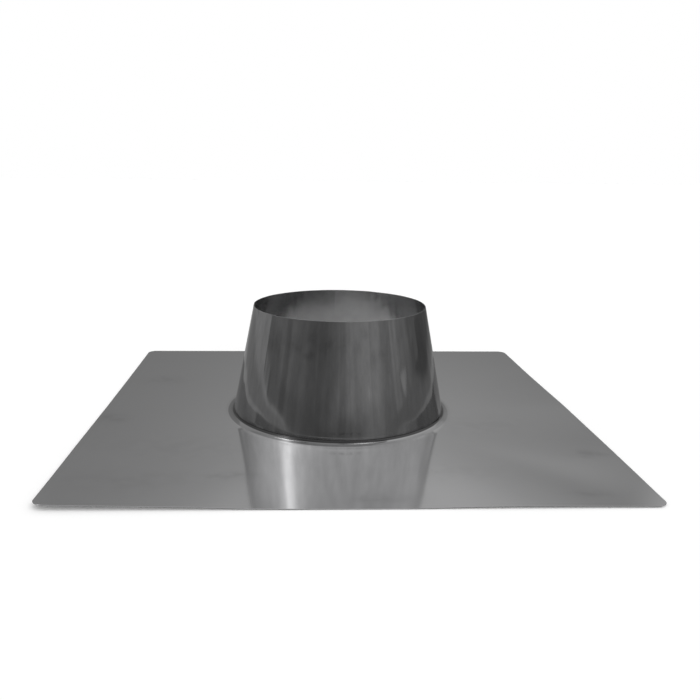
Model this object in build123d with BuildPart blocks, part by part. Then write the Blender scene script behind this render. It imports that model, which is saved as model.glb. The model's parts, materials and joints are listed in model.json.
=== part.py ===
# Flat-roof flashing for a round flue, in two pieces of thin stainless sheet.
# The square base plate lies on the roof, and its hole is drawn up into a short round neck.
# A rolled cone is pushed down over that neck, with its butt weld at the back. Its foot seats
# on the neck's bend, and a weld inside joins it to the neck's lip, so that rain running down
# the cone drips onto the plate and never meets an open joint.
#
# Millimetres, +Z up. The origin is in the middle of the plate's underside, on the axis of
# the flue. The cone's weld is on the +Y side.

import os
from math import atan2, cos, degrees, hypot, sin, sqrt, tan

from build123d import *

# Base plate
plate_width = 500.0  # along X
plate_depth = 500.0  # along Y
plate_sheet = 0.6  # thickness of the plate and of the neck drawn from it
plate_corner_radius = 10.0

# Neck drawn up from the plate
neck_diameter = 220.0  # over the outside of its upright wall
neck_bend_radius = 9.0  # on the upper side, between plate and neck

# Cone pushed over the neck
mouth_diameter = 180.0  # clear width inside the upper rim, where the flue passes
mouth_height = 115.0  # of the upper rim's inner edge, above the roof
foot_overhang = 2.0  # how far outside the neck's wall the cone's inside lands
cone_sheet = 0.6

# Play between the cone and the neck
seat_clearance = 0.05

# Weld inside, between the neck's lip and the cone
lip_weld_leg = 1.6  # how far it climbs up the cone
lip_weld_bulge = 0.15  # of its rounded face, towards the flue

# Butt weld that closes the rolled cone
seam_width = 2.6
seam_rise = 0.2  # crown left standing on the outer face
seam_end_dressing = 0.8  # length over which the crown is ground off at foot and mouth

# Centre of the neck's bend in the half section, where X is the radius and Y is the height
neck_radius = neck_diameter / 2
bend_centre = Vector(neck_radius + neck_bend_radius, plate_sheet + neck_bend_radius)

# The foot's inner corner rests on the bend, clear of it by the play
foot_reach = neck_bend_radius - foot_overhang
foot_drop = sqrt((neck_bend_radius - seat_clearance) ** 2 - foot_reach**2)
foot_inside = bend_centre - Vector(foot_reach, foot_drop)
mouth_inside = Vector(mouth_diameter / 2, mouth_height)

# The wall leans in by this angle from foot to mouth
wall_run = foot_inside.X - mouth_inside.X
wall_climb = mouth_inside.Y - foot_inside.Y
wall_length = hypot(wall_run, wall_climb)
wall_lean = atan2(wall_run, wall_climb)

# The play, measured level instead of square to the leaning wall
level_clearance = seat_clearance / cos(wall_lean)

# The neck ends where its outer face would meet the cone's inner face, short by the play
lip_height = foot_inside.Y + (foot_overhang - level_clearance) / tan(wall_lean)


def cone_inside_radius(height):
    """Radius of the cone's inner face at a height above the roof."""
    return foot_inside.X - (height - foot_inside.Y) * tan(wall_lean)


def make_base_plate():
    """The flat sheet, with the neck that is drawn up from its hole and the weld on its lip."""
    neck_bore_radius = neck_radius - plate_sheet
    weld_top = lip_height + lip_weld_leg
    weld_top_radius = cone_inside_radius(weld_top) - level_clearance

    with BuildPart() as base_plate:
        # Flat sheet, open as far out as the bend begins
        with BuildSketch():
            RectangleRounded(plate_width, plate_depth, plate_corner_radius)
            Circle(bend_centre.X, mode=Mode.SUBTRACT)
        extrude(amount=plate_sheet)

        # Half section of the bend and the upright neck
        with BuildSketch(Plane.XZ):
            with BuildLine():
                Line((bend_centre.X, 0), (bend_centre.X, plate_sheet))
                CenterArc(bend_centre, neck_bend_radius, 180, 90)
                Line((neck_radius, bend_centre.Y), (neck_radius, lip_height))
                Line((neck_radius, lip_height), (neck_bore_radius, lip_height))
                Line((neck_bore_radius, lip_height), (neck_bore_radius, bend_centre.Y))
                CenterArc(bend_centre, neck_bend_radius + plate_sheet, 180, 90)
            make_face()
        revolve(axis=Axis.Z)

        # Weld metal in the corner between the lip and the cone's inner face
        with BuildSketch(Plane.XZ):
            with BuildLine():
                Line((neck_bore_radius, lip_height), (neck_radius, lip_height))
                Line((neck_radius, lip_height), (weld_top_radius, weld_top))
                SagittaArc(
                    (weld_top_radius, weld_top), (neck_bore_radius, lip_height), -lip_weld_bulge
                )
            make_face()
        revolve(axis=Axis.Z)

    base_plate.part.label = "base_plate"
    return base_plate.part


def make_cone_collar():
    """The rolled cone, cut square to its own wall at foot and mouth, with its weld's crown."""
    across_wall = Vector(cos(wall_lean), sin(wall_lean))
    up_wall = Vector(-sin(wall_lean), cos(wall_lean))

    # The weld is centred in the sheet's outer third, so that it ends short of the inner face
    seam_depth = cone_sheet / 3
    seam_start = (
        foot_inside + across_wall * (cone_sheet - seam_depth) + up_wall * seam_end_dressing
    )
    seam_plane = Plane(
        origin=(0, seam_start.X, seam_start.Y), x_dir=(1, 0, 0), z_dir=(0, up_wall.X, up_wall.Y)
    )

    with BuildPart() as cone_collar:
        # Half section of the rolled wall
        with BuildSketch(Plane.XZ):
            with BuildLine():
                Polyline(
                    foot_inside,
                    foot_inside + across_wall * cone_sheet,
                    mouth_inside + across_wall * cone_sheet,
                    mouth_inside,
                    close=True,
                )
            make_face()
        revolve(axis=Axis.Z)

        # The weld, a flat oval in section, runs straight up the back
        with BuildSketch(seam_plane):
            Ellipse(seam_width / 2, seam_depth + seam_rise)
        extrude(amount=wall_length - 2 * seam_end_dressing)

    cone_collar.part.label = "cone_collar"
    return cone_collar.part


os.makedirs("parts", exist_ok=True)
for piece in (make_base_plate(), make_cone_collar()):
    export_step(piece, f"parts/{piece.label}.step")

print(f"wall leans in by {degrees(wall_lean):.2f} degrees over {wall_length:.2f} mm")
print(f"cone's foot inside: radius {foot_inside.X:.2f}, height {foot_inside.Y:.2f}")
print(f"neck's lip height: {lip_height:.2f}")
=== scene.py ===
# %% [markdown]
# # A flue flashing in thin stainless sheet
#
# The object is two pieces of bright steel sheet: a square plate that lies on a flat roof, and
# a rolled cone that carries the flue through it. Almost all that the eye gets from such steel
# is reflection. So this lesson spends its care on three things: the exact form of each sheet,
# with the slight warps that bend a reflection, the finish of its surface, and the studio that
# is seen in it.
#
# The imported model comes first. It is the fixed frame, in metres, that everything else fits.

# %% Load the frame
import json
import math

import bmesh
import bpy
import numpy as np
from mathutils import Matrix, Vector


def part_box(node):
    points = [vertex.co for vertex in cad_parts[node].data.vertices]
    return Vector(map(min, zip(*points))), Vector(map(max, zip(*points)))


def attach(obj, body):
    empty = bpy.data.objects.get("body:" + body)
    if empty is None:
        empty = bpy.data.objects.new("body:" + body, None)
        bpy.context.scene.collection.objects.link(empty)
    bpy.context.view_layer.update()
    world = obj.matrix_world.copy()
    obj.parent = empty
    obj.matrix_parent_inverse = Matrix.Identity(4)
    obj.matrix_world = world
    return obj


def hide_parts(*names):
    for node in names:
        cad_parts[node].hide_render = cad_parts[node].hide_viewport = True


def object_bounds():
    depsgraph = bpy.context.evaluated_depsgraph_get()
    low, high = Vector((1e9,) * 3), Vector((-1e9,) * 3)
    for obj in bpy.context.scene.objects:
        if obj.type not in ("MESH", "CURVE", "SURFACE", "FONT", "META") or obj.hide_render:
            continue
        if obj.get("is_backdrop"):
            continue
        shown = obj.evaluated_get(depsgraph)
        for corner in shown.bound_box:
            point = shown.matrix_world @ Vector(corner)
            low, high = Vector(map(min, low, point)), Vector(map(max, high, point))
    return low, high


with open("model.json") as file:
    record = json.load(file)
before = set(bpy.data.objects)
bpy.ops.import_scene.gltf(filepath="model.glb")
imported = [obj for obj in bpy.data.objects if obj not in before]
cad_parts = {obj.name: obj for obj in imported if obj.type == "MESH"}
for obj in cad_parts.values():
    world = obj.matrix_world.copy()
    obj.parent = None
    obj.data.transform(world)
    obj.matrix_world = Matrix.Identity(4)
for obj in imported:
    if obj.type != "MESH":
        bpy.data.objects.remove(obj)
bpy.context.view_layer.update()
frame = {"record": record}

plate_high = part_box("base_plate")[1]
cone_low, cone_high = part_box("cone_collar")
mouth = next(m for m in frame["record"]["mounts"] if m["name"] == "flue_mouth")
print("plate", [round(v, 4) for v in plate_high], "cone", [round(v, 4) for v in cone_high])

# %% [markdown]
# ## Sizes
#
# The frame gives the outline of each piece. What it doesn't give is how the sheet turns
# inside that outline, so the sheet's thickness and its bend are named here. The cone's lean
# follows from its foot and its mouth.

# %% Sizes of the sheet
MM = 0.001
sheet = 0.6 * MM
plate_half = plate_high.x
corner_radius = 10 * MM
neck_radius = 110 * MM  # over the outside of its upright wall
bend_radius = 9 * MM  # on the upper side
bend_start = neck_radius + bend_radius
bend_height = sheet + bend_radius  # of the bend's centre
weld_top = plate_high.z
weld_leg = 1.6 * MM
lip_height = weld_top - weld_leg

mouth_radius = mouth["dims"]["r_mm"] * MM
mouth_height = mouth["pos_m"][2]
foot_height = cone_low.z
lean = math.atan2(cone_high.x - sheet - mouth_radius, mouth_height - foot_height)
foot_radius = cone_high.x - sheet * math.cos(lean)
wall_length = (mouth_height - foot_height) / math.cos(lean)
print(f"cone leans in by {math.degrees(lean):.2f} degrees, wall {wall_length / MM:.1f} mm")

# %% [markdown]
# ## The camera
#
# The photograph was taken from a little above, with the plate's front edge nearest. The
# place, aim and lens below make the plate's four edges and the cone's two rims fall where
# they do in the photograph. They were found by least squares on points along those edges. The
# lens's axis lies a little left of the picture's middle, which the small shift stands for.

# %% Camera
camera = bpy.data.objects.new("camera", bpy.data.cameras.new("camera"))
bpy.context.scene.collection.objects.link(camera)
bpy.context.scene.camera = camera

camera_place = Vector((-0.0472, -0.7918, 0.2639))
camera_pitch = 0.2459
camera_turn = -0.0390
camera_roll = 0.0115
camera.data.sensor_width = 36
camera.data.lens = 39.12
camera.data.shift_x = 0.0378
camera.matrix_world = (
    Matrix.Translation(camera_place)
    @ Matrix.Rotation(camera_turn, 4, "Z")
    @ Matrix.Rotation(math.pi / 2 - camera_pitch, 4, "X")
    @ Matrix.Rotation(camera_roll, 4, "Z")
)
print("camera", round(camera_place.length, 3), "m from the plate's middle")

# %% [markdown]
# ## Shader sums in plain Python
#
# A finish is worked out by nodes, and long chains of them are hard to read. Two small classes
# help. `Wire` wraps a socket, so that sums on it are written as Python and each adds its Math
# node. `Nodes` holds the nodes of one material, and its method `node` places a node of any
# kind, with the settings first and the sockets after them.

# %% A socket to calculate with
class Wire:
    """A socket of a shader that takes part in sums as a number does."""

    def __init__(self, nodes, socket):
        self.nodes = nodes
        self.socket = socket

    def math(self, operation, *others):
        """A Math node on this socket and on other sockets or numbers."""
        values = dict(enumerate((self, *others)))
        return self.nodes.wire("Math", {"operation": operation}, values)

    def __add__(self, other):
        return self.math("ADD", other)

    def __sub__(self, other):
        return self.math("SUBTRACT", other)

    def __rsub__(self, other):
        return self * -1 + other

    def __mul__(self, other):
        return self.math("MULTIPLY", other)

    def __truediv__(self, other):
        return self.math("DIVIDE", other)

    __radd__ = __add__
    __rmul__ = __mul__

    def between(self, low, high):
        """0 at low and before it, 1 at high and past it. It falls if high is the smaller."""
        return self.nodes.wire(
            "MapRange",
            {"interpolation_type": "SMOOTHSTEP"},
            {"Value": self, "From Min": low, "From Max": high},
        )

    def hump(self, centre, width):
        """1 at the centre, falling off softly to 0 on both sides."""
        away = (self - centre) / width
        return (away * away * -1).math("EXPONENT")


# %% The nodes of one material
class Nodes:
    """The nodes of one material or world, and where a shaded point is on the object."""

    def __init__(self, owner):
        owner.use_nodes = True
        self.tree = owner.node_tree
        self.tree.nodes.clear()

    def node(self, kind, settings={}, sockets={}):
        """Adds a node: first its settings, then the values or links of its sockets."""
        node = self.tree.nodes.new("ShaderNode" + kind)
        for name, value in settings.items():
            # The stops of a ramp are pairs of a place, from 0 to 1, and a grey
            if name == "stops":
                ramp = node.color_ramp.elements
                while len(ramp) < len(value):
                    ramp.new(1)
                for stop, (at, shade) in zip(ramp, value):
                    stop.position = at
                    stop.color = (shade, shade, shade, 1)
            else:
                setattr(node, name, value)
        for name, value in sockets.items():
            if isinstance(value, Wire):
                self.tree.links.new(value.socket, node.inputs[name])
            else:
                node.inputs[name].default_value = value
        return node

    def wire(self, kind, settings={}, sockets={}, out=0):
        """Adds a node and gives back one of its outputs."""
        return Wire(self, self.node(kind, settings, sockets).outputs[out])

    def locate(self):
        """Where the point is: metres along each axis, out from the flue, and its bearing."""
        self.point = self.wire("TexCoord", out="Object")
        split = self.node("SeparateXYZ", sockets={"Vector": self.point})
        self.x, self.y, self.z = (Wire(self, split.outputs[axis]) for axis in "XYZ")
        self.radius = (self.x * self.x + self.y * self.y).math("SQRT")
        self.bearing = self.x.math("ARCTAN2", self.y * -1) * (180 / math.pi)

    def noise(self, scale, detail, stretch=(1, 1, 1), shift=0.0):
        """Cloudy noise round 0.5, whose clouds are about 1/scale metres wide."""
        moved = self.wire(
            "Mapping",
            sockets={"Vector": self.point, "Scale": stretch, "Location": (shift, shift, shift)},
        )
        return self.wire(
            "TexNoise", sockets={"Vector": moved, "Scale": scale, "Detail": detail}
        )

    def seen_directly(self):
        """1 for what the camera sees, also in metal or through glass, and 0 for light."""
        rays = self.node("LightPath").outputs
        camera, glossy = Wire(self, rays["Is Camera Ray"]), Wire(self, rays["Is Glossy Ray"])
        through = Wire(self, rays["Is Transmission Ray"])
        return camera.math("MAXIMUM", glossy).math("MAXIMUM", through)

    def end(self, shader, kind="OutputMaterial"):
        """Ends the tree with a shader."""
        self.node(kind, sockets={"Surface": shader})


def new_material(name):
    """An empty material and its nodes, with the place of the shaded point worked out."""
    material = bpy.data.materials.new(name)
    nodes = Nodes(material)
    nodes.locate()
    return material, nodes


# %% [markdown]
# ## Skins from rings
#
# Both pieces are closed skins round the flue's axis. Each is a stack of rings with the same
# number of points, joined by quads, and the last ring joins the first, so the sheet has its
# true thickness and no open edge. A Screw or a Solidify modifier would make round pieces too,
# but rings also let the square outline and the round neck share their points.

# %% Pieces from points and faces
def new_piece(name, points, faces):
    """An object with a smooth mesh."""
    mesh = bpy.data.meshes.new(name)
    mesh.from_pydata(np.asarray(points).tolist(), [], np.asarray(faces).tolist())
    mesh.shade_smooth()
    piece = bpy.data.objects.new(name, mesh)
    bpy.context.scene.collection.objects.link(piece)
    return piece


# %% Rings into a closed skin
crease_degrees = 35


def skin(name, rings):
    """A closed mesh through rings of points, smooth but for edges sharper than the crease."""
    count = len(rings[0])
    around = np.arange(count)
    after = np.roll(around, -1)
    quads = []
    for i in range(len(rings)):
        here = i * count
        there = ((i + 1) % len(rings)) * count
        quads.append(np.stack([here + around, here + after, there + after, there + around], 1))
    piece = new_piece(name, np.vstack(rings), np.vstack(quads))
    shell = bmesh.new()
    shell.from_mesh(piece.data)
    bmesh.ops.recalc_face_normals(shell, faces=shell.faces)
    shell.to_mesh(piece.data)
    shell.free()
    piece.data.set_sharp_from_angle(angle=math.radians(crease_degrees))
    print(name, "has", len(piece.data.polygons), "quads")
    return piece


def soft_step(value, low, high):
    """0 below low, 1 above high, and a soft rise between, for arrays."""
    share = np.clip((value - low) / (high - low), 0, 1)
    return share * share * (3 - 2 * share)


# %% [markdown]
# ## The base plate
#
# On the real object this is a sheared square of sheet, with its corners snipped round. A hole
# is cut in the middle and its edge drawn up into a neck, which leaves the small bend that
# catches the light around the cone's foot. Drawing it also leaves the sheet slightly warped:
# the free edges lift by a few millimetres, most at the front left corner. A flat plane would
# give a reflection that is far too calm, so the lift is part of the mesh. It only ever lifts,
# and it dies out before the neck, where the cone has to sit. Sheet bends in long curves, so
# the lift also has to change softly from one bearing to the next: a crease, even one too faint
# to see by itself, would show as a hard line in the mirror.

# %% The plate's outline, with more points at its corners
ring_points = 960
corner_crowding = 0.21
even = np.arange(ring_points) * 2 * math.pi / ring_points
bearings = even + corner_crowding * np.sin(4 * even)
cosines, sines = np.cos(bearings), np.sin(bearings)

larger = np.maximum(abs(cosines), abs(sines))
smaller = np.minimum(abs(cosines), abs(sines))
straight_edge = plate_half / larger
corner_centre = plate_half - corner_radius
along = corner_centre * (larger + smaller)
past_corner = np.maximum(along**2 - 2 * corner_centre**2 + corner_radius**2, 0)
in_corner = straight_edge * smaller > corner_centre
outline = np.where(in_corner, along + np.sqrt(past_corner), straight_edge)
print("outline from", round(outline.min(), 4), "to", round(outline.max(), 4), "m from the axis")

# %% How far the plate's edge lifts off the roof
edge_lifts = [
    # x, y and lift in millimetres, once round from the front left corner
    (-250, -250, 5.0), (-190, -250, 3.7), (-120, -250, 2.2), (-80, -250, 0.6),
    (-20, -250, 0.0), (50, -250, 0.1), (90, -250, 1.1), (130, -250, 1.7), (180, -250, 1.4),
    (250, -250, 0.4), (250, -180, 1.3), (250, -125, 1.8), (250, 0, 2.2), (250, 60, 1.2),
    (250, 125, 0.3), (250, 250, 0.0), (-250, 250, 0.0), (-250, 125, 0.3), (-250, 0, 1.1),
    (-250, -125, 3.1),
]
warp_power = 1.8  # how late the lift begins on the way out to the edge
smoothed_points = 37  # of the ring's points, over which the lift is blurred


def reach(x, y):
    """How far out a point of the flat sheet is: 0 where the bend starts, about 1 at the edge."""
    radius = np.hypot(x, y)
    # A square with such round corners has no crease at its diagonals
    soft_outline = plate_half * radius / (x**4 + y**4) ** 0.25
    return (radius - bend_start) / (soft_outline - bend_start)


knots = [
    (math.atan2(y, x) % (2 * math.pi), lift * MM / reach(x * MM, y * MM) ** warp_power)
    for x, y, lift in edge_lifts
]
knot_bearings, knot_lifts = zip(*sorted(knots))
lift = np.interp(even, knot_bearings, knot_lifts, period=2 * math.pi)
window = np.hanning(smoothed_points)
window /= window.sum()
lift = np.convolve(np.tile(lift, 3), window, "same")[ring_points : 2 * ring_points]
edge_lift = np.interp(bearings, even, lift, period=2 * math.pi)
highest = (edge_lift * reach(outline * cosines, outline * sines) ** warp_power).max()
print(f"the plate's edge lifts by up to {highest / MM:.1f} mm")

# %% The plate's rings
# The die leaves the bend fuller than a true arc, by about a seventh of this
die_fullness = 1.75 * MM


def flat_ring(share, height, inset=0.0):
    """A ring on the flat sheet: share 0 is where the bend starts and share 1 the outline."""
    radius = bend_start + share * (outline - inset - bend_start)
    x, y = radius * cosines, radius * sines
    return np.stack([x, y, height + edge_lift * reach(x, y) ** warp_power], 1)


def round_ring(radius, height):
    """A level ring about the flue's axis."""
    return np.stack([radius * cosines, radius * sines, np.full(ring_points, height)], 1)


def bend_rings(radius, steps=25):
    """Rings round the bend, from the flat sheet up to the upright neck."""
    rings = []
    for turn in np.linspace(-math.pi / 2, -math.pi, steps):
        out = bend_start + radius * math.cos(turn)
        share = np.clip((bend_start - out) / (bend_start - foot_radius), 0, 1)
        fullness = die_fullness * share * (1 - share) ** 2
        rings.append(round_ring(out, bend_height + radius * math.sin(turn) + fullness))
    return rings


# %% The plate's skin
shear_round = 0.1 * MM
neck_bore = neck_radius - sheet
bead_gap = 0.06 * MM  # between the bead and the cone's wall
bead_step = 0.5 * MM  # from the ends of its face to the two rings that round it
top_bulge = 0.12 * MM  # how far those rings stand out towards the flue
lip_bulge = 0.08 * MM
bead_outer = foot_radius - (weld_top - foot_height) * math.tan(lean) - bead_gap

# The face that is seen has more rings than the one below
upper_shares = np.linspace(1, 0, 34)[:-1]
under_shares = np.linspace(0, 1, 13)[1:]
upper_face = [flat_ring(share, sheet, shear_round) for share in upper_shares]
upper_face += bend_rings(bend_radius)
weld_bead = [
    round_ring(neck_radius, lip_height),
    round_ring(bead_outer, weld_top),
    round_ring(bead_outer - top_bulge, weld_top - bead_step),
    round_ring(neck_bore - lip_bulge, lip_height + bead_step),
    round_ring(neck_bore, lip_height),
]
under_face = bend_rings(bend_radius + sheet, steps=17)[::-1]
under_face += [flat_ring(share, 0.0, shear_round) for share in under_shares]
cut_edge = [flat_ring(1, shear_round), flat_ring(1, sheet - shear_round)]
plate = skin("plate_sheet", upper_face + weld_bead + under_face + cut_edge)

# %% [markdown]
# ## The cone
#
# The cone is cut as part of a flat ring, fed through rollers and welded up the back. Rollers
# never leave a perfect cone: the sheet keeps faint flats along its straight lines from foot
# to mouth. They are a few tenths of a millimetre deep at most, but in bright sheet they are
# what makes a reflection run in upright streaks, so they are in the mesh too. They fade
# towards the foot, which the neck's bend holds round.

# %% Faint flats left by the rollers
cone_ring_points = 1080
cone_bearings = np.arange(cone_ring_points) * 2 * math.pi / cone_ring_points
wave_slopes = [
    # waves once round the cone, and how steep they are
    (5, 0.006), (9, 0.008), (14, 0.008), (23, 0.010), (37, 0.009), (61, 0.006),
]
rng = np.random.default_rng(11)
roll_waves = [
    (count, rng.uniform(0, 2 * math.pi), slope * foot_radius / count)
    for count, slope in wave_slopes
]


def roll_marks(bearing, share):
    """How far the wall stands in or out at a bearing, share 0 at the foot, 1 at the mouth."""
    marks = 0
    for count, start, depth in roll_waves:
        fade = 1 + 0.6 * math.sin(2.5 * share + 3 * start)
        marks = marks + depth * fade * np.sin(count * bearing + start + 0.5 * share)
    return marks * (0.25 + 0.75 * soft_step(share, 0.02, 0.25))


deepest = abs(roll_marks(cone_bearings, 0.5)).max()
print(f"halfway up, the wall strays from a true cone by {deepest / MM:.2f} mm at most")

# %% The cone's rings
cut_round = 0.08 * MM
turned_height = 3.2 * MM
turned_depth = 0.22 * MM


def foot_turn(along):
    """How far the foot is drawn in where the cone was pressed down onto the bend."""
    return turned_depth * max(0, 1 - along / turned_height) ** 2


def wall_ring(along, across):
    """A ring of the cone: along runs up the wall from the foot, across out from its inside."""
    radius = foot_radius - along * math.sin(lean) + across * math.cos(lean)
    radius = radius + roll_marks(cone_bearings, along / wall_length) - foot_turn(along)
    height = foot_height + along * math.cos(lean) + across * math.sin(lean)
    x, y = radius * np.cos(cone_bearings), radius * np.sin(cone_bearings)
    return np.stack([x, y, np.full(cone_ring_points, height)], 1)


# The rings stand closer together where the foot is drawn in
plain_start = 5 * MM
foot_climb = np.linspace(cut_round, turned_height, 8)
wall_climb = np.linspace(plain_start, wall_length - cut_round, 32)
climb = np.append(foot_climb, wall_climb)
outer_face = [wall_ring(along, sheet) for along in climb]
mouth_edge = [wall_ring(wall_length, sheet - cut_round), wall_ring(wall_length, cut_round)]
inner_face = [wall_ring(along, 0.0) for along in climb[::-1]]
foot_edge = [wall_ring(0.0, cut_round), wall_ring(0.0, sheet - cut_round)]
cone = skin("cone_wall", outer_face + mouth_edge + inner_face + foot_edge)

# %% [markdown]
# ## The cone's weld
#
# A bead runs up the back where the rolled edges meet. Such a weld is laid without filler, and
# its crown shows a row of small crescents, one for each pulse of the torch. A bump map could
# draw them, but a mesh strip also shows them at the bead's rim. It is laid on the wall with a
# ripple along its length that bows at the edges.

# %% A rippled bead
seam_half_width = 1.3 * MM
seam_crown = 0.2 * MM
seam_sunk = 0.03 * MM  # into the wall at its edges, so that no gap shows
seam_dressed = 0.8 * MM  # ground off at the foot and at the mouth
ripple_pitch = 1.3 * MM
ripple_depth = 0.04 * MM
ripple_bow = 0.5 * MM
rows_per_ripple = 7


def seam_point(along, across):
    """A point of the bead: along runs up the wall, across goes from -1 to 1 over its width."""
    wave = math.cos(2 * math.pi * (along + ripple_bow * across**2) / ripple_pitch)
    proud = sheet + (seam_crown + ripple_depth * wave) * (1 - across**2) - seam_sunk
    radius = foot_radius - along * math.sin(lean) + proud * math.cos(lean)
    radius += roll_marks(math.pi / 2, along / wall_length)
    height = foot_height + along * math.cos(lean) + proud * math.sin(lean)
    x = across * seam_half_width
    return x, math.sqrt(radius**2 - x**2), height


seam_rows = np.arange(
    seam_dressed, wall_length - seam_dressed, ripple_pitch / rows_per_ripple
)
seam_columns = np.linspace(-1, 1, 13)
seam_points = [seam_point(along, across) for along in seam_rows for across in seam_columns]
columns = len(seam_columns)
first_corners = [
    row * columns + i for row in range(len(seam_rows) - 1) for i in range(columns - 1)
]
seam_quads = [(c, c + 1, c + columns + 1, c + columns) for c in first_corners]
seam = new_piece("cone_weld", seam_points, seam_quads)
print("cone_weld has", len(seam_quads), "quads")

# %% [markdown]
# ## Finish of the steel
#
# Cold-rolled stainless sheet is a dull mirror. A metallic Principled shader gives it: the
# Over that go the faint marks of the mill and of hands. An image of dirt would do, but noise
# and a few soft spots at listed places need no file and stay sharp at any distance.

# %% A shader for the steel
steel_tint = (0.36, 0.36, 0.363, 1)


def steel_shader(nodes, shade, rough, height, depth):
    """Bright sheet: shade dims its colour, and the height relief is as deep as depth."""
    grey = nodes.wire("CombineColor", sockets={"Red": shade, "Green": shade, "Blue": shade})
    colour = nodes.wire(
        "Mix",
        {"data_type": "RGBA", "blend_type": "MULTIPLY"},
        {0: 1.0, 6: steel_tint, 7: grey},
        out=2,
    )
    bump = nodes.wire("Bump", sockets={"Distance": depth, "Height": height})
    return nodes.wire(
        "BsdfPrincipled",
        sockets={"Base Color": colour, "Metallic": 1.0, "Roughness": rough, "Normal": bump},
    )


# %% Smudges on the plate
smudges = [
    # x, y, width and depth in millimetres, and how much the spot dims the steel
    (-238, -41, 16, 14, 0.22), (-205, 105, 26, 16, 0.14), (-98, -188, 22, 8, 0.22),
    (20, -232, 26, 8, 0.20), (225, -140, 20, 10, 0.22), (196, -226, 18, 7, 0.16),
    (140, -60, 60, 30, 0.07), (-160, -120, 70, 30, 0.07), (57.5, -103.7, 0.8, 0.8, 0.5),
    (-60, -150, 40, 20, 0.06), (90, -180, 50, 20, 0.07), (-180, -200, 60, 22, 0.08),
]


def smudge_dirt(nodes):
    """How much the smudges dim the plate, each broken up by blots."""
    blots = nodes.noise(60, 4, shift=3.0).between(0.35, 0.65)
    dimming = 0
    for x, y, width, depth, dim in smudges:
        spot = nodes.x.hump(x * MM, width * MM) * nodes.y.hump(y * MM, depth * MM)
        dimming = dimming + spot * (blots * 0.7 + 0.3) * dim
    return dimming


print(len(smudges), "smudges on the plate")

# %% Plate finish
plate_relief = 0.004 * MM


def plate_finish():
    """Handled cold-rolled sheet: soft clouds, smudges, mill lines, and painted shade on the
    bend.
    """
    material, plate_steel = new_material("plate_steel")
    mill_lines = plate_steel.noise(900, 2, stretch=(1, 0.03, 1))
    clouds = plate_steel.noise(9, 3)
    dimming = clouds * 0.04 + smudge_dirt(plate_steel)

    # The bend is dimmed with painted shade, more on its left half, and made a little smoother.
    # Its steep part under the cone's foot is darkened further, a painted shadow line.
    drawn = plate_steel.radius.between(bend_start + 0.4 * MM, bend_start - 0.4 * MM)
    painted_foot_shadow = plate_steel.radius.between(foot_radius + 2.7 * MM, foot_radius + 1.7 * MM)
    painted_bend_shade = 0.15 + 0.27 * plate_steel.x.between(0.0, -0.06)
    shade = (1.02 - dimming) * (1 - painted_bend_shade * drawn) * (1 - 0.88 * painted_foot_shadow)
    rough = 0.07 + 0.03 * clouds + 0.015 * mill_lines + 0.2 * dimming - 0.03 * drawn
    steel = steel_shader(plate_steel, shade, rough, mill_lines + clouds * 8, plate_relief)
    plate_steel.end(steel)
    return material


plate.data.materials.append(plate_finish())
print("plate_sheet wears", plate.data.materials[0].name)

# %% [markdown]
# ## Finish of the cone
#
# The cone is the same sheet, but it went through rollers and was gripped for welding. What
# they left runs with the cone's straight lines: narrow dull streaks, a few blotches from
# hands under the mouth, and scuffs at the front of the foot. The streaks in the colour also
# stand for the upright stripes of the mirrored room, so they are partly painted reflection. A
# thin line on the front is a painted highlight, and the foot's edge and the top of the inside
# get painted shade. To make noise run along those lines, the point is first brought onto a
# circle of radius 1, where every line of the cone stands upright.

# %% Streaks from foot to mouth
def roller_and_reflection_streaks(nodes):
    """Noise on a circle of radius 1, stretched along the cone's straight lines."""
    upright = nodes.wire(
        "CombineXYZ",
        sockets={"X": nodes.x / nodes.radius, "Y": nodes.y / nodes.radius, "Z": nodes.z * 2.5},
    )
    return nodes.wire(
        "TexNoise", sockets={"Vector": upright, "Scale": 14.0, "Detail": 4.0, "Roughness": 0.65}
    )


# %% Blotches on the cone
degrees_per_mm = 0.57  # round the wall, where it is about 100 mm from the axis
blotches = [
    # bearing in degrees, height and size in millimetres, and how much it dims the steel
    (-22.5, 81.5, 3, 0.50), (-19.5, 82.5, 4, 0.40), (-10, 92, 9, 0.24), (-31, 92, 8, 0.16),
    (2, 93, 10, 0.16), (-45, 88, 9, 0.20), (20, 80, 12, 0.14), (30, 95, 9, 0.16),
    (-20, 100, 6, 0.22), (-26, 88, 4, 0.25), (12, 104, 5, 0.15),
]


def blotch_dirt(nodes):
    """How much the blotches dim the cone, each broken up by blots."""
    blots = nodes.noise(90, 3, shift=5.0).between(0.35, 0.65)
    dimming = 0
    for bearing, height, size, dim in blotches:
        spot = nodes.bearing.hump(bearing, size * degrees_per_mm)
        spot = spot * nodes.z.hump(height * MM, size * MM)
        dimming = dimming + spot * (blots * 0.7 + 0.3) * dim
    return dimming


print(len(blotches), "blotches on the cone")

# %% Cone finish
cone_relief = 0.01 * MM


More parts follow.
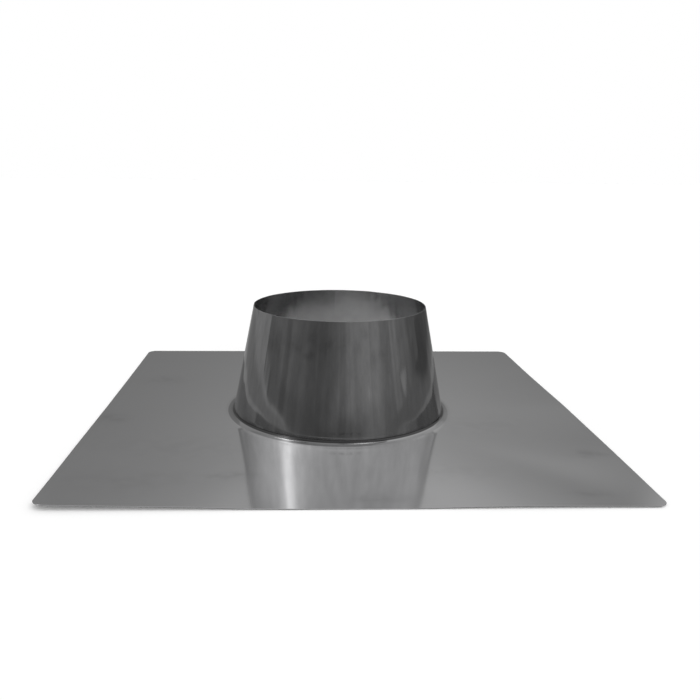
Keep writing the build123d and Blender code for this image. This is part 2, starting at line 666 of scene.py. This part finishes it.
def cone_finish():
    """The rolled sheet: streaks up the wall, partly painted reflection, blotches under the
    mouth, scuffs at the foot, a painted highlight line and painted shade.
    """
    material, cone_steel = new_material("cone_steel")
    streaks = roller_and_reflection_streaks(cone_steel)
    clouds = cone_steel.noise(26, 3, stretch=(1, 1, 0.6))
    # The streak term is partly painted reflection: it puts the room's upright stripes in the
    # colour
    dimming = clouds * 0.06 + (streaks - 0.5) * 0.5 + blotch_dirt(cone_steel)
    scuffs = cone_steel.noise(500, 2, shift=2.0).between(0.42, 0.55)
    scuffs = scuffs * cone_steel.bearing.hump(1, 8) * cone_steel.z.hump(10.5 * MM, 1.2 * MM)
    # A thin upright line on the front is brightened: a painted highlight
    painted_highlight_line = cone_steel.bearing.hump(13.2, 0.35) * cone_steel.z.hump(48 * MM, 7 * MM)

    # The inner face is whatever lies nearer to the axis than the middle of the sheet
    middle = foot_radius + sheet / 2 - (cone_steel.z - foot_height) * math.tan(lean)
    inside = (middle - cone_steel.radius).math("GREATER_THAN", 0)
    inner_clouds = cone_steel.noise(38, 3, shift=7.0) - 0.5
    # Painted shade darkens the inside near its top, towards the back left
    painted_inner_shade = cone_steel.bearing.hump(-156, 26) * cone_steel.z.hump(108 * MM, 16 * MM) * 0.35
    inner_shade = 0.96 - 0.5 * inner_clouds - painted_inner_shade

    # The foot's cut edge gets painted shade, for the crease where it meets the bend
    painted_foot_shade = cone_steel.z.between(foot_height + 0.7 * MM, foot_height + 0.2 * MM)
    outer_shade = (1.03 - dimming - 0.3 * scuffs + 0.2 * painted_highlight_line) * (1 - 0.8 * painted_foot_shade)
    shade = outer_shade * (1 - inside) + inner_shade * inside
    rough = 0.05 + 0.04 * clouds + 0.10 * dimming * (1 - inside) + 0.16 * inside
    relief = clouds * 6 + streaks * 2 + inside * clouds * 80
    steel = steel_shader(cone_steel, shade, rough, relief, cone_relief)
    cone_steel.end(steel)
    return material


cone_steel = cone_finish()
cone.data.materials.append(cone_steel)
seam.data.materials.append(cone_steel)
print("cone_wall and cone_weld wear", cone_steel.name)

# %% [markdown]
# ## Onto the frame
#
# Each piece of the look rides on the part's root, and the solid that it stands for is hidden.

# %% Tie the pieces to the frame
for piece, node, slot in (
    (plate, "base_plate", "plate_steel"),
    (cone, "cone_collar", "cone_steel"),
    (seam, "cone_collar", "cone_steel"),
):
    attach(piece, "root")
    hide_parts(node)
    print(piece.name, "stands for", node)

# %% [markdown]
# ## The studio
#
# The floor and the world are white, lit by a soft sun and by the air round the object. Both
# are brighter to the eye than they are as lamps, which keeps the background white without more
# light on the steel. The floor keeps the object's soft shadow.

# %% Floor, world and sun
def flat_panel(name, half_x, half_y, height=0.0):
    """A level rectangle, centred on the object's axis."""
    corners = [(-half_x, -half_y), (half_x, -half_y), (half_x, half_y), (-half_x, half_y)]
    return new_piece(name, [(x, y, height) for x, y in corners], [(0, 1, 2, 3)])


floor_half = 9
floor_height = -0.4 * MM
floor = flat_panel("floor", floor_half, floor_half, floor_height)
floor_white, floor_nodes = new_material("floor_white")
paper = floor_nodes.wire("BsdfDiffuse", sockets={"Color": (0.95, 0.95, 0.95, 1)})
lifted = floor_nodes.seen_directly() * 0.12
glow = floor_nodes.wire("Emission", sockets={"Strength": lifted})
floor_nodes.end(floor_nodes.wire("AddShader", sockets={0: paper, 1: glow}))
floor.data.materials.append(floor_white)
floor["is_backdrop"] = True

air_light = 0.55
world = bpy.data.worlds.new("studio_air")
bpy.context.scene.world = world
air = Nodes(world)
strength = air.seen_directly() * (1 - air_light) + air_light
white = (1, 1, 1, 1)
air.end(air.wire("Background", sockets={"Color": white, "Strength": strength}), "OutputWorld")

sun = bpy.data.lights.new("soft_sun", "SUN")
sun.angle = math.radians(60)
sun.energy = 1.6
sun_object = bpy.data.objects.new("soft_sun", sun)
bpy.context.scene.collection.objects.link(sun_object)
sun_lean = Matrix.Rotation(math.radians(20), 4, "Y")
sun_object.matrix_world = Matrix.Rotation(math.radians(35), 4, "X") @ sun_lean
sun_object.visible_glossy = False
print("sun of", sun.energy, "and air of", air_light)

# %% [markdown]
# ## Cards
#
# Bright sheet would mirror the white studio and look like paper. Metal is therefore
# photographed among cards: grey and dark panels round the object, with the brightness that the
# metal is meant to show. Each card here is seen in reflections only, so it shapes the metal and
# leaves the light on the floor as it was. A photograph of a room, wrapped round the scene, is
# the usual way, but a card needs no file and can be moved by itself.

# %% Cards that only the metal sees
room_distance = 2.0
card_columns = 97


def as_card(panel, glow):
    """Makes a panel glow, for reflections only. The glow is worked out on the card's nodes."""
    panel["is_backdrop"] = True
    material, nodes = new_material(panel.name)
    shade = glow(nodes)
    colour = nodes.wire("CombineColor", sockets={"Red": shade, "Green": shade, "Blue": shade})
    nodes.end(nodes.wire("Emission", sockets={"Color": colour}))
    panel.data.materials.append(material)
    panel.visible_camera = False
    panel.visible_diffuse = False
    panel.visible_shadow = False
    panel.visible_transmission = False


def room_point(bearing, height, distance=room_distance):
    """A point by its bearing in degrees, 0 at the camera's side and 90 at +X."""
    turn = math.radians(bearing)
    return distance * math.sin(turn), -distance * math.cos(turn), height


def curved_card(name, start, end, low, high, glow, distance=room_distance):
    """A card bent round the object, between two bearings and two heights."""
    across = np.linspace(start, end, card_columns)
    points = [room_point(bearing, z, distance) for z in (low, high) for bearing in across]
    faces = [(i, i + 1, card_columns + i + 1, card_columns + i) for i in range(card_columns - 1)]
    as_card(new_piece(name, points, faces), glow)
    print(name, "goes from", start, "to", end, "degrees")


# %% [markdown]
# ## The room and its flags
#
# The cone's wall leans back, so its front mirrors the room at about the object's own height:
# what stands at a bearing in the room becomes an upright stripe on the cone. One card goes
# round, with a brightness for each bearing. Before it stand some plain panels with hard edges,
# which photographers call flags, because a few of the cone's stripes begin and end abruptly.

# %% The dim room round the camera's side
room_end = 135  # degrees, where the room ends and the wall behind begins
wall_top = 1.1
room_shades = [
    # bearing in degrees and brightness
    (-135, 0.32), (-106, 0.24), (-99, 0.22), (-95, 0.31), (-88, 0.31), (-84, 0.21), (-77, 0.19),
    (-72, 0.23), (-66, 0.18), (-46, 0.20), (-41, 0.15), (-30, 0.13), (-21, 0.15), (-16, 0.18),
    (-11, 0.21), (3, 0.23), (9, 0.31), (26, 0.35), (41, 0.37), (47, 0.30), (64, 0.30),
    (80, 0.28), (87, 0.21), (92, 0.20), (112, 0.20), (135, 0.16),
]


def room_glow(nodes):
    """Stripes by their bearing, streaked and darker at the foot, and plain light above them."""
    stops = [((bearing + 180) / 360, shade) for bearing, shade in room_shades]
    shade = nodes.wire("ValToRGB", {"stops": stops}, {"Fac": nodes.bearing / 360 + 0.5})
    streaks = nodes.noise(3.0, 3, stretch=(1, 1, 0.15)) - 0.5
    posts = nodes.noise(3.5, 1, stretch=(1, 1, 0.08), shift=4.0).between(0.46, 0.54) - 0.5
    skirting = nodes.z.between(0.17, 0.07) * (0.2 + 0.28 * nodes.bearing.hump(8, 22))
    plain = 0.95 - 0.22 * nodes.bearing.between(-95, -130)
    upper = nodes.z.between(0.5, 0.9)
    shade = shade * (1 - skirting) * (1 + 0.5 * streaks + 0.16 * posts)
    return shade * (1 - upper) + plain * upper


curved_card("room", -room_end, room_end, 0.0, wall_top, room_glow)

# %% Flags, plain panels that stand before the room's wall
flag_distance = 1.93
flags = [
    # name, bearings from and to, heights from and to, and brightness
    ("pale_flag", -130, -99.5, 0.0, 0.25, 0.36),
    ("dark_flag_left", -98.5, -77, 0.09, 0.25, 0.19),
    ("dark_flag_right", 87, 127, 0.10, 0.25, 0.175),
    ("dark_flag_low", 106, 127, 0.0, 0.10, 0.11),
]


def flag_glow(shade):
    """An even panel with faint upright unevenness."""
    return lambda nodes: shade * (1.2 - 0.4 * nodes.noise(3.0, 3, stretch=(1, 1, 0.15)))


for name, start, end, low, high, shade in flags:
    curved_card(name, start, end, low, high, flag_glow(shade), flag_distance)

# %% A gap that lets in light, narrow at its foot
gap_shade = 0.38
gap_distance = 1.9
gap_corners = [
    # bearing in degrees and height in metres
    (73, 0.09), (80, 0.09), (80, 0.06), (78.5, 0.0),
]
gap_points = [room_point(bearing, height, gap_distance) for bearing, height in gap_corners]
as_card(new_piece("lit_gap", gap_points, [(0, 1, 2, 3)]), lambda nodes: gap_shade)
print("lit_gap has", len(gap_corners), "corners")

# %% [markdown]
# ## The diffuser
#
# The plate mirrors the cone, and there the cone shows what hangs above the camera: a large
# pale diffuser. One leaning strip in it is brighter, and draws the light stripe that runs from
# the cone's foot to the plate's front edge. Its sides are dimmer, so that the mirrored cone
# gets darker towards its flanks.

# %% The pale diffuser above the camera, with a strip light in it
ceiling_height = 3.8
diffuser_end = 160  # degrees, on both sides
strip_bearing = -34  # where it would meet the floor
strip_lean = 18  # degrees to the left with each metre of height


def diffuser_glow(nodes):
    """Pale light with the strip and its halo, and dimmer towards both sides."""
    leaning = nodes.bearing + strip_lean * nodes.z
    strip = leaning.hump(strip_bearing, 9) * (0.6 + 0.4 * nodes.z.between(1.45, 1.75))
    halo = leaning.hump(strip_bearing, 28)
    low_middle = nodes.bearing.hump(5, 35) * nodes.z.hump(1.62, 0.14)
    aside = nodes.bearing.math("ABSOLUTE")
    sides = 0.9 * aside.between(65, 165) - 0.4 * aside.hump(112, 22) * nodes.z.between(1.1, 1.4)
    return 1.6 - sides + halo + 2.1 * strip + 0.5 * low_middle


curved_card("diffuser", -diffuser_end, diffuser_end, wall_top, ceiling_height, diffuser_glow)

# %% [markdown]
# ## The wall behind and the ceiling
#
# The flat plate mirrors the wall behind the object, so that wall's grey is the plate's tone.
# It gets lighter with height, because the plate's front edge mirrors a higher part of it than
# its back edge does. The ceiling shows in the neck's bend and inside the cone.

# %% The grey wall behind, and the ceiling
def back_glow(nodes):
    """Grey that gets lighter upwards, with a lighter wall beside it on both sides."""
    middle = 0.22 + 0.19 * nodes.z + nodes.x.hump(0.3, 0.75) * (0.5 * nodes.z - 0.14)
    left = nodes.x.between(-0.85, -1.2) * (0.2 + 0.12 * nodes.z.between(0.75, 0.95))
    right = nodes.x.between(1.12, 1.32) * 0.45

    # A faint wave in height on the right, which lies across the plate's right half
    wave = 0.05 * nodes.z.between(0.79, 0.88) - 0.06 * nodes.z.hump(0.78, 0.06)
    wave = wave * nodes.x.between(0.3, 0.6) * nodes.x.between(1.15, 0.95)
    return middle + wave + (left + right) * nodes.z.between(0.35, 0.65)


def back_top_glow(nodes):
    """Plain light that closes the room above the wall behind."""
    return 0.7


curved_card("back_wall", room_end, 360 - room_end, 0.0, wall_top, back_glow)
top_start, top_end = diffuser_end, 360 - diffuser_end
curved_card("back_wall_top", top_start, top_end, wall_top, ceiling_height, back_top_glow)

ceiling_half = 2.2
ceiling = flat_panel("ceiling", ceiling_half, ceiling_half, ceiling_height)
as_card(ceiling, lambda nodes: 0.8 + 0.3 * nodes.y.between(0.5, -0.5))

# %% [markdown]
# ## Glints on the bend
#
# The neck's bend turns through a right angle in a few millimetres, so it mirrors most of the
# room there, and a lamp becomes a short thin glint. Two soft lamps hang where the bend mirrors
# them to the camera.

# %% Two soft lamps under the ceiling
lamps = [
    # name, middle in metres, turn in degrees, how far the glow reaches along and across the
    # lamp in metres, and how bright its middle is
    ("lamp_left", (-1.40, 0.54, 2.7), 130, 0.40, 0.07, 24),
    ("lamp_right", (0.93, 0.26, 3.75), 20.5, 0.47, 0.11, 8),
]


def lamp_glow(along, across, peak):
    """A glow that fades from the lamp's middle to its rim."""
    return lambda nodes: peak * nodes.x.hump(0, along) * nodes.y.hump(0, across)


for name, middle, turn, along, across, peak in lamps:
    lamp = flat_panel(name, 2 * along, 2 * across)
    lamp.matrix_world = Matrix.Translation(middle) @ Matrix.Rotation(math.radians(turn), 4, "Z")
    as_card(lamp, lamp_glow(along, across, peak))
    print(name, "hangs at", middle)

# %% [markdown]
# ## The floor as the metal sees it
#
# The lowest part of the cone mirrors the floor beyond the plate, and in the photograph that
# floor isn't white. A mat with a square hole for the plate lies on the white floor for this.
# Like the cards, it is seen in reflections only.

# %% The mat
mat_height = -0.2 * MM


def mat_glow(nodes):
    """Grey beside the plate, darker to its right and left and lighter far out on the left."""
    right = nodes.x.between(0.31, 0.35)
    left = nodes.x.between(-0.31, -0.35)
    far_left = nodes.x.between(-0.7, -1.3)
    right_side = nodes.x.between(-0.1, 0.1)
    far_right = nodes.x.between(0.35, 0.65) * nodes.y.between(0.05, 0.25)
    near = 0.34 - 0.07 * right_side - 0.08 * right - 0.09 * left
    return near + 0.10 * far_left - 0.09 * far_right


inner, outer = plate_half + 1 * MM, 2.2
corners = [(-1, -1), (1, -1), (1, 1), (-1, 1)]
mat_points = [(size * x, size * y, mat_height) for size in (inner, outer) for x, y in corners]
mat_faces = [(i, (i + 1) % 4, 4 + (i + 1) % 4, 4 + i) for i in range(4)]
as_card(new_piece("floor_mat", mat_points, mat_faces), mat_glow)
print("the mat is", 2 * outer, "m wide")

# %% [markdown]
# ## Last settings
#
# The Standard view shows the greys as they were worked out. The size of the look is measured.
# The look has to stay inside the box of the solids.

# %% Colour of the picture, and the size of the look
bpy.context.scene.view_settings.view_transform = "Standard"

low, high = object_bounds()
